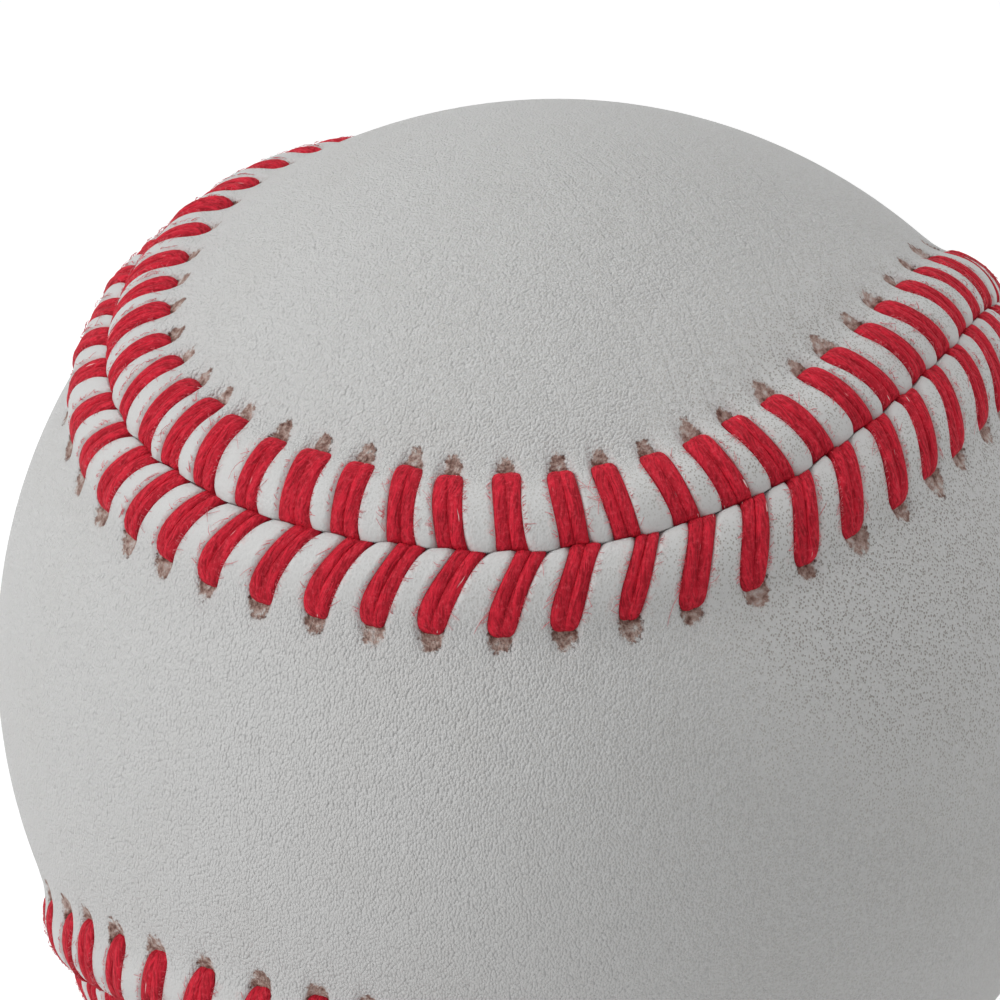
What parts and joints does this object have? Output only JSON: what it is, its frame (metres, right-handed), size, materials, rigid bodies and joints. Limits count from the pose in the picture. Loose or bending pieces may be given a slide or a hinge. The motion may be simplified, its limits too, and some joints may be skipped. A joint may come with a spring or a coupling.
{
  "type": "baseball",
  "caption": "Stitched leather ball for throwing and batting, with a figure-eight seam over wool windings and a cork and rubber centre.",
  "frame": {"origin": "centre of the ball", "axes": "+Z through the round end of the upright cover panel, -Y through the narrow waist of the level cover panel, +X through a round end of the level cover panel; Y is the seam's axis of symmetry"},
  "size_m": [0.074, 0.074, 0.074],
  "materials": {
    "cork": "granulated cork",
    "black_rubber": "moulded",
    "red_rubber": "moulded",
    "grey_wool": "wound yarn",
    "white_wool": "wound yarn",
    "finish_yarn": "fine wound yarn",
    "cement": "thin brushed coat",
    "cover_leather": "off-white, fine grain, matte",
    "red_thread": "waxed twisted thread"
  },
  "bodies": {
    "root": {"cork_core": "cork", "inner_cushion_upper": "black_rubber", "inner_cushion_lower": "black_rubber", "cushion_washer": "red_rubber", "outer_cushion_upper": "red_rubber", "outer_cushion_lower": "red_rubber", "first_wool_winding": "grey_wool", "second_wool_winding": "white_wool", "third_wool_winding": "grey_wool", "finish_winding": "finish_yarn", "cement_coat": "cement", "upright_cover_panel": "cover_leather", "level_cover_panel": "cover_leather", "upright_stitches": "red_thread", "level_stitches": "red_thread"}
  },
  "joints": []
}
